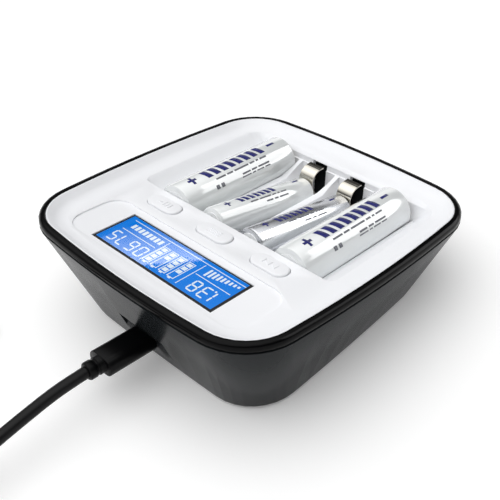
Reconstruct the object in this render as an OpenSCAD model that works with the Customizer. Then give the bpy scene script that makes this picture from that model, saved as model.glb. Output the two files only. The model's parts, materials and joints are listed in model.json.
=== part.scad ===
// Desk charger for four AA or AAA cells, with a sloped panel, a display and a plug-in lead.
// Millimetres. +X is the user's right, +Y the rear (display and lead), +Z up, table at Z = 0.
// Panel frame: its origin is the panel's centre, with Z square to the sloped panel.

/* [Body] */
// Width of the rim
rim_w = 101.2; // [96:0.1:110]
// Room between the swing of the sprung contacts and the rim's front edge
front_room = 4.3; // [4.2:0.05:6]
// Corner radius of the rim outside
rim_r = 18.5; // [14:0.5:24]
// Corner radius of the rim inside
rim_inner_r = 15.5; // [11:0.5:18]
// How far each side of the rim bows out
rim_bulge = 3; // [1:0.1:4]
// Width of the rim's top face
rim_face = 2.2; // [1.6:0.1:3]
// Height of the rim above the panel plane
rim_h = 2.9; // [2:0.1:4]
// Slope of the panel, down towards the user
panel_tilt = 7; // [4:0.5:9]
// Height of the panel's centre above the table
panel_h = 28.8; // [27:0.1:36]
// Width of the base
base_w = 82.4; // [80:0.1:90]
// How much less deep the base is than the rim
base_taper = 24.2; // [20:0.1:24.6]
// Corner radius of the base
base_r = 15.8; // [12:0.1:20]
// How far each side of the base bows out
base_bulge = 0.9; // [0.4:0.1:2]
// How far the base sits behind the panel's centre
base_shift = 2.3; // [1:0.1:4]
// Rounding of the base's lower edge
base_edge = 0.8; // [0.4:0.1:1.5]
// Wall of the lower case
case_wall = 2.2; // [1.6:0.1:2.6]
// How far the feet stand below the base
foot_h = 1; // [0.6:0.1:1.6]

/* [Panel and well] */
// Thickness of the panel
panel_t = 2; // [1.6:0.1:2.2]
// How far the panel's edge lies below the rim's top
panel_drop = 0.3; // [0.1:0.05:0.6]
// Half width of the battery well at the panel
well_half_w = 40; // [38.5:0.1:41]
// From the rim's rear edge to the panel edge over the positive ends
well_inset = 43.5; // [43.2:0.05:44.5]
// Room between the AA cells' negative ends and the well's wall
well_room = 1.9; // [1.5:0.1:2.3]
// Height of the dividers' crest below the panel
crest_z = 6.5; // [5.5:0.1:7.5]
// Wall under the bays
tub_wall = 1.9; // [1.6:0.1:2.2]
// Distance between neighbouring bays
bay_pitch = 16.3; // [15.9:0.1:16.8]
// Depth of the frame recess around the display
frame_recess = 0.5; // [0.3:0.05:0.8]
// Width of that recess
frame_w = 74; // [66:0.5:76]

/* [Cells] */
// Diameter of an AA cell
aa_d = 14.4; // [13.8:0.1:14.5]
// Length of an AA cell over its nub
aa_l = 50.5; // [50:0.1:50.5]
// Height of an AA cell's axis below the panel
aa_z = 3.9; // [3.5:0.1:4.3]
// Diameter of an AAA cell
aaa_d = 10.4; // [10:0.1:10.5]
// Length of an AAA cell over its nub
aaa_l = 44.5; // [44:0.1:44.5]
// Slope of an AAA cell in its bay
aaa_tilt = 8.3; // [7:0.1:9]
// Height of an AAA cell's negative end below the panel
aaa_z = 9.3; // [8.9:0.1:9.5]
// Radial clearance of a cell in its bay
bay_gap = 0.2; // [0.1:0.05:0.3]

/* [Display and buttons] */
// Width of the display opening
lcd_w = 51.4; // [46:0.1:53]
// Depth of the display opening
lcd_d = 16.4; // [14:0.1:17]
// From the rim's rear edge to the display's centre
lcd_inset = 20.2; // [19.6:0.1:20.9]
// Length of a button
button_l = 13.1; // [11:0.1:14]
// Width of a button
button_w = 6; // [5:0.1:6.4]
// Distance between neighbouring buttons
button_pitch = 22.5; // [20:0.1:24]
// From the rim's rear edge to the row of buttons
button_inset = 37.7; // [37.4:0.05:37.8]
// How far a button stands above the panel
button_proud = 0.6; // [0.3:0.05:1]
// Travel of a button
button_travel = 0.5; // [0.3:0.05:0.6]

/* [Contacts] */
// Width of a contact strip
contact_w = 5.8; // [5:0.1:6.2]
// Thickness of a contact strip
contact_t = 0.4; // [0.3:0.05:0.5]

/* [Lead] */
// Diameter of the lead
lead_d = 3.7; // [3.3:0.1:4]
// Width of the small plug's grip
plug_w = 10; // [9:0.1:11]
// Height of the small plug's grip
plug_h = 5.8; // [5.4:0.1:6.4]
// Length of the small plug's grip
plug_l = 16.4; // [14:0.1:20]
// Depth of the socket's axis below the panel
socket_z = 23.1; // [22.6:0.1:23.4]
// Depth of the flat around the socket, at the socket's axis
socket_recess = 0.5; // [0.3:0.1:0.8]

/* [Hidden] */
$fn = 64;
tiny = 0.01;
gap = 0.3;
slip = 0.1;

// Sprung contacts: a leaf from its foot up to the fold, which turns about the foot
nub_lean = 0.25;
aaa_r = aaa_d / 2;
foot_z = -17.5;
leaf_run = aa_l - aaa_l * cos(aaa_tilt) - nub_lean - aaa_r * sin(aaa_tilt) - 3 * gap;
// Share of the run towards the cells, and height below the panel
leaf_bends = [
    [-0.24, -1.6], [0.07, -1.6], [0.44, -1.9], [0.74, -2.8], [0.89, -4], [1, -5.3], [0.96, -7],
    [0.7, -9.4], [0.35, -12.4], [0, -14.6], [0, foot_z]];
leaf = [for (b = leaf_bends) [b[0] * leaf_run, b[1] - foot_z]];
// Turn that clears an AA cell's negative end, from the most forward bend
leaf_target = -2 * gap - contact_t / 2;
function clear_turn(v) = acos(leaf_target / norm(v)) - atan2(v.y, v.x);
push_angle = max([for (i = [4:8]) clear_turn(leaf[i])]);
// Strip board below the leaves' feet
strip_board_top = foot_z - contact_t / 2 - gap;
strip_board_t = 1.2;
strip_lip = 0.3;
// How far the turned leaf and the strip board reach towards the user, carried up the sloped wall to the
// panel, in whole tenths
wall_lean = 0.45;
function back(v) = v.y * sin(push_angle) - v.x * cos(push_angle);
function below(v) = -foot_z - v.y * cos(push_angle) - v.x * sin(push_angle);
leaf_back = max([for (v = leaf) back(v)]);
strip_reach = strip_lip + wall_lean * (strip_board_t - strip_board_top);
leaf_reach = max([for (v = leaf) back(v) + wall_lean * below(v)]);
front_reach = ceil(10 * max(leaf_reach, strip_reach)) / 10;

// Depths along the panel follow from the length of an AA cell and the leaf behind it
edge_t = 1.2;
well_l = aa_l + slip + well_room - edge_t;
rim_d = well_inset + well_l - well_room + front_reach - gap + front_room;
base_d = rim_d - base_taper;
well_rear = rim_d / 2 - well_inset;
lcd_y = rim_d / 2 - lcd_inset;
button_y = rim_d / 2 - button_inset;

// Bays from the user's right to left, which is from +X to -X
bay_x = [for (i = [0:3]) (1.5 - i) * bay_pitch];
button_x = [button_pitch, 0, -button_pitch];

// Rim and panel levels in the panel frame
rim_round = 1.3;
rim_groove = 0.6;
rim_ledge = 2;
ledge_t = 0.8;
panel_edge_top = rim_h - panel_drop;
panel_y = rim_h / 2 * sin(panel_tilt);

// Cells: sleeve ends, nubs and axes
nub_l = 1.3;
aa_nub_r = 2.75;
aaa_nub_r = 1.9;
aa_r = aa_d / 2;
cradle_r = aa_r + bay_gap;
contact_face = well_rear + edge_t;
aa_far = contact_face - slip - aa_l;
aaa_far = contact_face - slip - nub_lean - aaa_l * cos(aaa_tilt);
trough_z = aaa_z + aaa_r / cos(aaa_tilt) + bay_gap;
nub_slot_w = 7.2;

// Tub below the panel
well_front = well_l - well_rear;
well_floor_half_w = 1.5 * bay_pitch + cradle_r + 0.5;
well_slope = 1.4;
tub_front = well_front + tub_wall;
tub_z_far = trough_z + tub_wall;
tub_z_near = aa_z + cradle_r + tub_wall;
tub_half_w = well_floor_half_w + tub_wall;
trough_front = max(aaa_far - 5.3, -well_front);
tub_fall = 22;
// Depth of the tub's underside at one place along the panel
function tub_depth(y) =
    tub_z_far + (tub_z_near - tub_z_far) * min(max((y - aaa_far) / tub_fall, 0), 1);
// Dividers rise to the well's front wall
ramp_l = 9;
ramp_top = 2.6;

// Slots that the sprung contacts swing in, and the strip board below them
foot_y = aa_far + gap;
slot_w = contact_w + 0.5;
slot_top = -1.25;
slot_front = max(aaa_far - 1.7, foot_y + 2.6);
slot_rear = foot_y - leaf_back - contact_t / 2 - 1.4;
strip_board_half_w = 1.5 * bay_pitch + contact_w / 2 + 0.6;
strip_board_front = foot_y - strip_lip;
strip_stake_y = foot_y + 0.9;
strip_stake_h = tub_wall - strip_board_top - tub_z_far;

// Display stack, downwards from the panel
window_t = 1;
window_gap = 0.2;
lcd_margin = 1.4;
lcd_t = 1.9;
light_t = 3;
board_t = 1.6;
lcd_top = -panel_t - tiny;
window_low = lcd_top + window_gap;
light_top = lcd_top - lcd_t;
board_top = light_top - light_t;
stake_d = 3.6;
stake_pin_d = 1.8;
stake_x = lcd_w / 2 + lcd_margin + 0.4 + stake_d / 2;
stake_y = [button_y + 5.6, lcd_y + 7.3];
display_board_half_w = stake_x + 2.2;
display_board_front = contact_face + contact_t + 0.8;
display_board_rear = stake_y[1] + 3.1;
frame_front = lcd_y - lcd_d / 2 - 2.6;
frame_rear = lcd_y + lcd_d / 2 + 1.6;
frame_r = 6;

// Buttons and switches
button_gap = 0.25;
button_edge = 0.5;
flange_t = 0.6;
flange_lip = 0.7;
flange_top = -panel_t - slip;
switch_w = 6;
switch_h = 3.4;
plunger_d = 3.3;
plunger_bore = plunger_d + 0.3;
plunger_depth = 1.6;

// Case screws, upright in the table frame
screw_x = base_w / 2 - 5.1;
screw_y = [base_shift - base_d / 2 + 14.9, base_shift + base_d / 2 - 12.3];
screw_d = 2.4;
screw_head_d = 5;
screw_head_h = 1.8;
boss_d = 6;
post_d = 7.4;
screw_seat = 7;
screw_tip = 17.5;

// Feet
floor_t = 2.2;
foot_d = 9;
foot_x = base_w / 2 - 14.6;
foot_off = base_d / 2 - 13.1;
foot_sink = 0.8;

// A point of the panel frame in the table frame
function on_table(p) = [
    p.x,
    p.y * cos(panel_tilt) - p.z * sin(panel_tilt) + panel_y,
    p.y * sin(panel_tilt) + p.z * cos(panel_tilt) + panel_h];
// Height in the panel frame of a level above the table, at one place along the panel
function level(z, y) = (z - panel_h - y * sin(panel_tilt)) / cos(panel_tilt);
// Place along and above the panel of a point of the table frame
function along(y, z) = [
    (y - panel_y) * cos(panel_tilt) + (z - panel_h) * sin(panel_tilt),
    (z - panel_h) * cos(panel_tilt) - (y - panel_y) * sin(panel_tilt)];

// Tops of the screw posts: the front ones end below the tub
post_front = along(screw_y[0] - post_d / 2, screw_seat).x;
post_top = [on_table([0, post_front, -tub_depth(post_front)]).z - gap, screw_seat + 5];

// Rear wall of the case, and the flat for the socket in it
rear_low_z = foot_h + base_edge;
rear_low = along(base_shift + base_d / 2, rear_low_z);
rear_wall = rim_d / 2 + (rear_low.x - rim_d / 2) * -socket_z / rear_low.y;
socket_face = rear_wall - socket_recess;
// The inner walls run on past the open top
wall_over = 2;
wall_spread = 0.4 * wall_over;
rear_in_low = along(base_shift + base_d / 2 - case_wall, foot_h + floor_t);
rear_in_top = rim_d / 2 - case_wall + wall_spread;
function rear_in(z) =
    rear_in_top + (rear_in_low.x - rear_in_top) * (z - wall_over) / (rear_in_low.y - wall_over);
socket_flat_w = 19.2;
socket_flat_up = 4.4;
socket_flat_down = 8;
socket_pad = 2.4;
socket_hole = [8.8, 4];

// Main board and socket
socket_w = 7.6;
socket_l = 5.2;
socket_h = 2.8;
socket_wall = 0.3;
socket_sink = 0.4;
main_top = -socket_z - socket_h / 2;
main_half_w = 29;
main_front = contact_face + contact_t + 0.25;
main_rear = socket_face - 4.7;
main_tongue_w = 16;
main_tongue_rear = min(socket_face - socket_pad, rear_in(main_top - board_t)) - gap;
main_mid = (main_front + main_rear) / 2;
post_x = 21;
post_y = [main_front + 7.2, main_rear - 5.2];
board_post_d = 5;
// Across the board, from its middle, diameter and height
capacitors = [[-15.5, 1, 9, 5.5], [14.5, 3, 6.3, 7.7], [22.5, 1, 6.3, 7.7]];
// Across the board, from its middle, width, depth and height
chips = [[0, -1.5, 10, 7, 1.6], [-24.3, -1, 3.5, 4, 1.4]];
board_screw_d = 1.9;

// Lead: plug, stub, route on the table, coil and far plug
stub_d = 5.5;
stub_l = 4.9;
stub_groove = 0.4;
coil_r = 5.5 * lead_d;
coil_at = [coil_r + lead_d, 130];
coil_turns_wide = 3;
coil_layers = 2;
coil_base = 0.8;
coil_h = coil_layers * lead_d;
coil_half_w = coil_turns_wide * lead_d / 2;
tie_angle = 25;
tie_t = 0.6;
far_grip = [16, 24, 8.2];
far_shell = [12, 12, 4.5];
shell_t = 0.3;
plug_shell_size = [6.8, 5, 1.8];
plug_tip = [0, socket_face + gap, -socket_z];
plug_end = plug_tip.y + plug_l + stub_l;
lead_start = on_table([0, plug_end + slip, -socket_z]);
// Route of the lead from the plug to the coil
lead_route = [
    lead_start, [0, 71, 14], [0, 75, 14.2], [0, 80, 14.1], [0, 85, 13.7], [0, 90, 13.2], [0, 95, 12.6],
    [0, 100, 11.9], [0, 105, 11.1], [0, 110, 10.2], [0, 115, 9.3], [0, 120, 8.4], [0, 125, 7.5],
    [0, 130, 6.7]];
// Route of the tail from the coil to the far plug
tail_route = [
    [48.1, 130, 2.7], [48.3, 127, 2.8], [48.8, 124, 3], [49.8, 121, 3.3], [51, 118, 3.7], [52.2, 115, 4],
    [53, 112, 4.1], [53.3, 110, 4.1], [53.3, 109, 4.1]];
far_at = tail_route[len(tail_route) - 1];

// Outline of a square with bowed sides and round corners: a quarter, then the ring
function quarter(a, b, r, s) =
    let (
        rx = (b * b + s * s) / (2 * s),
        ry = (a * a + s * s) / (2 * s),
        c1 = [a - rx, 0],
        c2 = [0, b - ry],
        d = norm(c2 - c1),
        t = ((rx - r) * (rx - r) - (ry - r) * (ry - r) + d * d) / (2 * d),
        h = sqrt((rx - r) * (rx - r) - t * t),
        e = (c2 - c1) / d,
        c = c1 + t * e + h * [-e.y, e.x],
        a1 = atan2(c.y - c1.y, c.x - c1.x),
        a2 = atan2(c.y - c2.y, c.x - c2.x))
    concat(
        [for (i = [0:3]) c1 + rx * [cos(a1 * i / 4), sin(a1 * i / 4)]],
        [for (i = [0:8]) let (g = a1 + (a2 - a1) * i / 8) c + r * [cos(g), sin(g)]],
        [for (i = [1:4]) let (g = a2 + (90 - a2) * i / 4) c2 + ry * [cos(g), sin(g)]]);
function ring(a, b, r, s) =
    let (q = quarter(a, b, r, s), n = len(q))
    concat(
        [for (i = [0:n - 2]) q[i]],
        [for (i = [n - 1:-1:1]) [-q[i].x, q[i].y]],
        [for (i = [0:n - 2]) -q[i]],
        [for (i = [n - 1:-1:1]) [q[i].x, -q[i].y]]);
function rim_ring(inset) = ring(rim_w / 2 - inset, rim_d / 2 - inset, rim_r - inset, rim_bulge);
function inner_ring(inset) =
    ring(rim_w / 2 - rim_face - inset, rim_d / 2 - rim_face - inset, rim_inner_r - inset, rim_bulge);
function base_ring(inset) = ring(base_w / 2 - inset, base_d / 2 - inset, base_r - inset, base_bulge);
function corner(c, r, from) = [for (i = [0:5]) c + r * [cos(from + 18 * i), sin(from + 18 * i)]];
function round_rect(x0, x1, y0, y1, r0, r1) = concat(
    corner([x1 - r1, y1 - r1], r1, 0), corner([x0 + r1, y1 - r1], r1, 90),
    corner([x0 + r0, y0 + r0], r0, 180), corner([x1 - r0, y0 + r0], r0, 270));
function lift(pts, z) = [for (p = pts) [p.x, p.y, z]];
function shift(pts, y) = [for (p = pts) [p.x, p.y + y]];

// Closed skin over rings of equal length, lowest first, each anticlockwise from above
module skin(rings) {
    n = len(rings[0]);
    m = len(rings);
    polyhedron(
        points = [for (r = rings) each r],
        faces = concat(
            [[for (i = [0:n - 1]) i]],
            [for (j = [0:m - 2]) for (i = [0:n - 1])
                [j * n + i, (j + 1) * n + i, (j + 1) * n + (i + 1) % n, j * n + (i + 1) % n]],
            [[for (i = [n - 1:-1:0]) (m - 1) * n + i]]));
}
module on_panel() {
    translate([0, panel_y, panel_h]) rotate([panel_tilt, 0, 0]) children();
}
module block(from, to) {
    translate(from) cube(to - from);
}
// Flat stadium, and a pill with a rounded top edge
module stadium(l, w) {
    square([l - w, w], center = true);
    for (s = [-1, 1]) translate([s * (l - w) / 2, 0]) circle(d = w);
}
module pill(l, w, h, edge) {
    side = concat(
        [[0, 0], [w / 2, 0]],
        [for (i = [0:4]) [w / 2 - edge + edge * cos(22.5 * i), h - edge + edge * sin(22.5 * i)]],
        [[0, h]]);
    for (s = [-1, 1]) translate([s * (l - w) / 2, 0, 0]) rotate_extrude() polygon(side);
    rotate([90, 0, 90]) linear_extrude(l - w, center = true) {
        polygon(side);
        mirror([1, 0]) polygon(side);
    }
}
// Strip of even thickness along a path of the YZ plane, with mitred bends, centred on X
function across(path, i) =
    let (d = path[i + 1] - path[i])
    [-d.y, d.x] / norm(d);
function mitre(path, i) =
    let (
        last = len(path) - 2,
        before = across(path, max(i - 1, 0)),
        after = across(path, min(i, last)))
    (before + after) / (1 + before * after);
module strip(path, t, w) {
    n = len(path) - 1;
    rotate([90, 0, 90]) linear_extrude(w, center = true) polygon(concat(
        [for (i = [0:n]) path[i] + t / 2 * mitre(path, i)],
        [for (i = [n:-1:0]) path[i] - t / 2 * mitre(path, i)]));
}
// Tube swept along points
module tube(route, d) {
    sides = 8;
    n = len(route);
    dir = [for (i = [0:n - 1]) let (v = route[min(i + 1, n - 1)] - route[max(i - 1, 0)]) v / norm(v)];
    skin([for (i = [0:n - 1])
        let (u0 = cross([0, 0, 1], dir[i]), u = u0 / norm(u0), w = cross(dir[i], u))
        [for (k = [0:sides - 1])
            route[i] + d / 2 * (cos(360 * k / sides) * u + sin(360 * k / sides) * w)]]);
}

// Lower case: tapered shell with posts for the screws and the main board
module case_outer() {
    skin([
        lift(shift(base_ring(base_edge), base_shift), foot_h),
        lift(shift(base_ring(0), base_shift), foot_h + base_edge),
        [for (p = rim_ring(0)) on_table([p.x, p.y, 0])]]);
}
module case_inner(inset) {
    skin([
        lift(shift(base_ring(inset), base_shift), foot_h + floor_t),
        [for (p = rim_ring(inset - wall_spread)) on_table([p.x, p.y, wall_over])]]);
}
module socket_block(half_w, y0, up, down) {
    block([-half_w, y0, -socket_z - down], [half_w, y0 + 30, -socket_z + up]);
}
module case_posts() {
    for (x = [-screw_x, screw_x], i = [0, 1])
        translate([x, screw_y[i], rear_low_z]) cylinder(d = post_d, h = post_top[i] - rear_low_z);
    on_panel() for (x = [-post_x, post_x], y = post_y) {
        low = level(foot_h + floor_t / 2, y);
        translate([x, y, low]) cylinder(d = board_post_d, h = main_top - board_t - slip - low);
    }
}
module lower_case() {
    color("#4c4e50") difference() {
        union() {
            difference() {
                case_outer();
                difference() {
                    case_inner(case_wall);
                    on_panel() socket_block(socket_flat_w / 2 + 2, socket_face - socket_pad,
                        socket_flat_up + 2, socket_flat_down + 2);
                }
            }
            case_posts();
        }
        on_panel() {
            socket_block(socket_flat_w / 2, socket_face, socket_flat_up, socket_flat_down);
            translate([0, socket_face, -socket_z]) cube([socket_hole.x, 20, socket_hole.y], center = true);
            for (x = [-post_x, post_x], y = post_y)
                translate([x, y, main_top - board_t - 2.5]) cylinder(d = board_screw_d, h = 3);
        }
        for (x = [-screw_x, screw_x], y = screw_y) translate([x, y, 0]) {
            cylinder(d = screw_head_d + 0.7, h = screw_seat);
            cylinder(d = screw_d + 0.4, h = 40);
        }
        for (x = [-foot_x, foot_x], y = [-foot_off, foot_off])
            translate([x, base_shift + y, 0]) cylinder(d = foot_d + 2 * slip, h = foot_h + foot_sink);
    }
}
// Rim: ring with a rounded outer edge, a groove above the case and a ledge for the panel
module rim_bezel() {
    color("#161718") on_panel() difference() {
        skin(concat(
            [lift(rim_ring(rim_groove), 0), lift(rim_ring(0), rim_groove)],
            [for (a = [0:22.5:90])
                lift(rim_ring(rim_round * (1 - cos(a))), rim_h - rim_round * (1 - sin(a)))]));
        translate([0, 0, ledge_t]) linear_extrude(rim_h) polygon(inner_ring(0));
        translate([0, 0, -1]) linear_extrude(rim_h) polygon(inner_ring(rim_ledge));
    }
}
// Top panel: dished plate with the battery tub below it
module dish() {
    // Inset at the sides and rear, inset at the user's side, height
    levels = [
        [5.6, 7.7, 0], [3.6, 5.2, 0.35], [2, 2.6, 1.1], [0.5, 0.5, panel_edge_top],
        [0.5, 0.5, panel_edge_top + 1]];
    skin([for (v = levels)
        let (half_d = rim_d / 2 - rim_face - (v[0] + v[1]) / 2)
        lift(shift(
            ring(rim_w / 2 - rim_face - v[0], half_d, rim_inner_r - v[0], rim_bulge),
            (v[1] - v[0]) / 2), v[2])]);
}
module well() {
    half_mid = well_half_w - well_slope;
    half_top = well_half_w + well_slope / 2;
    floor_half = well_floor_half_w;
    ramp = [
        [-well_front - 1, -crest_z - 1], [-well_front - 1, -ramp_top], [ramp_l - well_front, -crest_z],
        [ramp_l - well_front, -crest_z - 1]];
    difference() {
        skin([
            lift(round_rect(-floor_half, floor_half, -well_front, well_rear, 2, 2), -crest_z),
            lift(round_rect(-half_mid, half_mid, -well_front - 0.5, well_rear, 4.5, 2.6), -1),
            lift(round_rect(-half_top, half_top, -well_front - 2.4, well_rear, 9, 3), 0.5)]);
        rotate([90, 0, 90]) linear_extrude(3 * bay_pitch, center = true) polygon(ramp);
    }
}
module tub() {
    side = [
        [-well_half_w - tub_wall, -1], [-tub_half_w, -crest_z - tub_wall], [-tub_half_w, -20],
        [tub_half_w, -20], [tub_half_w, -crest_z - tub_wall], [well_half_w + tub_wall, -1]];
    fall = [
        [-tub_front, 0], [-tub_front, -tub_z_far], [aaa_far, -tub_z_far], [aaa_far + tub_fall, -tub_z_near],
        [contact_face - tiny, -tub_z_near], [contact_face - tiny, 0]];
    intersection() {
        on_panel() rotate([90, 0, 0]) linear_extrude(120, center = true) polygon(side);
        on_panel() rotate([90, 0, 90]) linear_extrude(120, center = true) polygon(fall);
        case_inner(case_wall + gap);
    }
}
module bays() {
    near_z = trough_z - (well_rear - aaa_far) * tan(aaa_tilt);
    trough = [
        [trough_front, 0], [trough_front, -trough_z], [aaa_far, -trough_z], [well_rear, -near_z],
        [well_rear, 0]];
    for (x = bay_x) translate([x, 0, 0]) {
        translate([0, well_rear, -aa_z]) rotate([90, 0, 0])
            cylinder(r = cradle_r, h = well_rear + well_front - slip);
        rotate([90, 0, 90]) linear_extrude(aaa_d + 2 * bay_gap, center = true) polygon(trough);
        block([-slot_w / 2, slot_rear, -25], [slot_w / 2, slot_front, slot_top]);
        block([-nub_slot_w / 2, well_rear - 1, -8.6], [nub_slot_w / 2, contact_face + 1, -0.9]);
    }
}
module panel_bosses() {
    for (x = [-screw_x, screw_x], i = [0, 1]) {
        top = panel_h - panel_t + screw_y[i] * sin(panel_tilt);
        translate([x, screw_y[i], post_top[i] + gap]) cylinder(d = boss_d, h = top - post_top[i]);
    }
    on_panel() {
        for (x = [-stake_x, stake_x], y = stake_y) {
            translate([x, y, board_top]) cylinder(d = stake_d, h = -board_top - 1);
            translate([x, y, board_top - board_t - 0.5]) cylinder(d = stake_pin_d, h = 4);
        }
        for (x = [-bay_pitch, bay_pitch]) {
            translate([x, strip_stake_y, strip_board_top]) cylinder(d = stake_d, h = strip_stake_h);
            translate([x, strip_stake_y, strip_board_top - strip_board_t - 0.4])
                cylinder(d = stake_pin_d, h = strip_board_t + 1);
        }
    }
}
module top_panel() {
    color("#ecedef") difference() {
        union() {
            on_panel() {
                translate([0, 0, -panel_t]) linear_extrude(panel_t + ledge_t + tiny)
                    polygon(inner_ring(rim_ledge + gap));
                translate([0, 0, ledge_t + tiny])
                    linear_extrude(panel_edge_top - ledge_t - tiny) polygon(inner_ring(slip));
            }
            tub();
            panel_bosses();
        }
        on_panel() {
            dish();
            well();
            bays();
            translate([0, 0, -frame_recess]) linear_extrude(5)
                polygon(round_rect(-frame_w / 2, frame_w / 2, frame_front, frame_rear, frame_r, frame_r));
            translate([0, lcd_y, 0]) cube([lcd_w, lcd_d, 10], center = true);
            for (x = button_x) translate([x, button_y, -10])
                linear_extrude(20) stadium(button_l + 2 * button_gap, button_w + 2 * button_gap);
        }
        for (x = [-screw_x, screw_x], y = screw_y)
            translate([x, y, 0]) cylinder(d = screw_d + slip, h = screw_tip + 0.5);
    }
}
// Display: clear window, glass, backlight and the board that carries them
module display_window() {
    color("#20324a") on_panel() translate([0, lcd_y, window_low + window_t / 2])
        cube([lcd_w - 2 * slip, lcd_d - 2 * slip, window_t], center = true);
}
module lcd_glass() {
    color("#1f86dc") on_panel() translate([0, lcd_y, light_top + lcd_t / 2])
        cube([lcd_w + 2 * lcd_margin, lcd_d + 2 * lcd_margin, lcd_t - 2 * tiny], center = true);
}
module lcd_backlight() {
    color("#dfe6ee") on_panel() translate([0, lcd_y, board_top + light_t / 2])
        cube([lcd_w + 2 * lcd_margin, lcd_d + 2 * lcd_margin, light_t - 2 * tiny], center = true);
}
module display_board() {
    color("#2c6a3f") on_panel() difference() {
        block([-display_board_half_w, display_board_front, board_top - board_t],
            [display_board_half_w, display_board_rear, board_top - tiny]);
        for (x = [-stake_x, stake_x], y = stake_y)
            translate([x, y, board_top - 5]) cylinder(d = stake_pin_d + 2 * slip, h = 10);
    }
}
module switch_bodies() {
    color("#2b2b2d") on_panel() for (x = button_x) translate([x, button_y, board_top]) difference() {
        translate([-switch_w / 2, -switch_w / 2, 0]) cube([switch_w, switch_w, switch_h]);
        translate([0, 0, switch_h - plunger_depth]) cylinder(d = plunger_bore, h = 4);
    }
}
// Buttons: rounded cap, and a flange that holds it under the panel
module button(x) {
    on_panel() translate([x, button_y, 0]) {
        translate([0, 0, flange_top - flange_t]) linear_extrude(flange_t)
            stadium(button_l + 2 * flange_lip, button_w + 2 * flange_lip);
        translate([0, 0, flange_top - tiny])
            pill(button_l, button_w, button_proud - flange_top, button_edge);
    }
}
module button_right() {
    color("#f1f2f4") button(button_x[0]);
}
module button_middle() {
    color("#f1f2f4") button(button_x[1]);
}
module button_left() {
    color("#f1f2f4") button(button_x[2]);
}
module plunger(x) {
    low = board_top + switch_h - plunger_depth + button_travel + 2 * slip;
    on_panel() translate([x, button_y, low])
        cylinder(d = plunger_d, h = flange_top - flange_t - low - tiny);
}
module plunger_right() {
    color("#1b1b1c") plunger(button_x[0]);
}
module plunger_middle() {
    color("#1b1b1c") plunger(button_x[1]);
}
module plunger_left() {
    color("#1b1b1c") plunger(button_x[2]);
}
// Main board with its components and the socket
module main_board() {
    color("#2c6a3f") on_panel() difference() {
        translate([0, 0, main_top - board_t]) linear_extrude(board_t) {
            translate([-main_half_w, main_front]) square([2 * main_half_w, main_rear - main_front]);
            translate([-main_tongue_w / 2, main_front])
                square([main_tongue_w, main_tongue_rear - main_front]);
        }
        for (x = [-post_x, post_x], y = post_y)
            translate([x, y, main_top - 5]) cylinder(d = board_screw_d + gap, h = 10);
    }
}
module board_components() {
    color("#3a3d42") on_panel() translate([0, 0, main_top + tiny]) {
        for (c = capacitors) translate([c[0], main_mid + c[1], 0]) cylinder(d = c[2], h = c[3]);
        for (c = chips) translate([c[0] - c[2] / 2, main_mid + c[1] - c[3] / 2, 0]) cube([c[2], c[3], c[4]]);
    }
}
module usb_socket() {
    inner_w = socket_w - 2 * socket_wall;
    inner_h = plug_shell_size.z + 2 * slip;
    color("#b9bcc0") on_panel() translate([0, socket_face - socket_sink, -socket_z]) difference() {
        translate([-socket_w / 2, -socket_l, -socket_h / 2 + tiny])
            cube([socket_w, socket_l, socket_h - 2 * tiny]);
        translate([-inner_w / 2, socket_wall - socket_l, -inner_h / 2]) cube([inner_w, socket_l, inner_h]);
    }
}
// Positive contacts: upright strips with a foot on the main board
module positive_contact(i) {
    y = contact_face + contact_t / 2 + tiny;
    low = main_top + contact_t / 2 + tiny;
    color("#c3c0b4") on_panel() translate([bay_x[i], 0, 0])
        strip([[y, -1.2], [y, low], [y + 3.4, low]], contact_t, contact_w);
}
module positive_contact_1() {
    positive_contact(0);
}
module positive_contact_2() {
    positive_contact(1);
}
module positive_contact_3() {
    positive_contact(2);
}
module positive_contact_4() {
    positive_contact(3);
}
// Negative contacts: bent leaves that an AA cell pushes back about their foot
module negative_contact(i, turn) {
    color("#c9c6ba") on_panel() translate([bay_x[i], foot_y, foot_z]) rotate([turn, 0, 0])
        strip(leaf, contact_t, contact_w);
}
module negative_contact_1() {
    negative_contact(0, push_angle);
}
module negative_contact_2() {
    negative_contact(1, 0);
}
module negative_contact_3() {
    negative_contact(2, 0);
}
module negative_contact_4() {
    negative_contact(3, push_angle);
}
module contact_board() {
    color("#2c6a3f") on_panel() difference() {
        block([-strip_board_half_w, strip_board_front, strip_board_top - strip_board_t],
            [strip_board_half_w, foot_y + 3, strip_board_top - tiny]);
        for (x = [-bay_pitch, bay_pitch])
            translate([x, strip_stake_y, strip_board_top - 5]) cylinder(d = stake_pin_d + 2 * slip, h = 10);
    }
}
module ribbon_lead() {
    t = 0.7;
    low = strip_board_top - strip_board_t - t / 2 - tiny;
    high = main_top + t / 2 + tiny;
    from = foot_y + 6;
    run = main_front + 0.6 - from;
    color("#8a8d92") on_panel() strip([
        [foot_y + 1, low], [from, low], [from + 0.29 * run, low - 1.4], [from + 0.73 * run, high + 0.9],
        [from + 0.92 * run, high + 0.1], [from + run, high], [from + run + 2.9, high]], t, 8);
}
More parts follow.
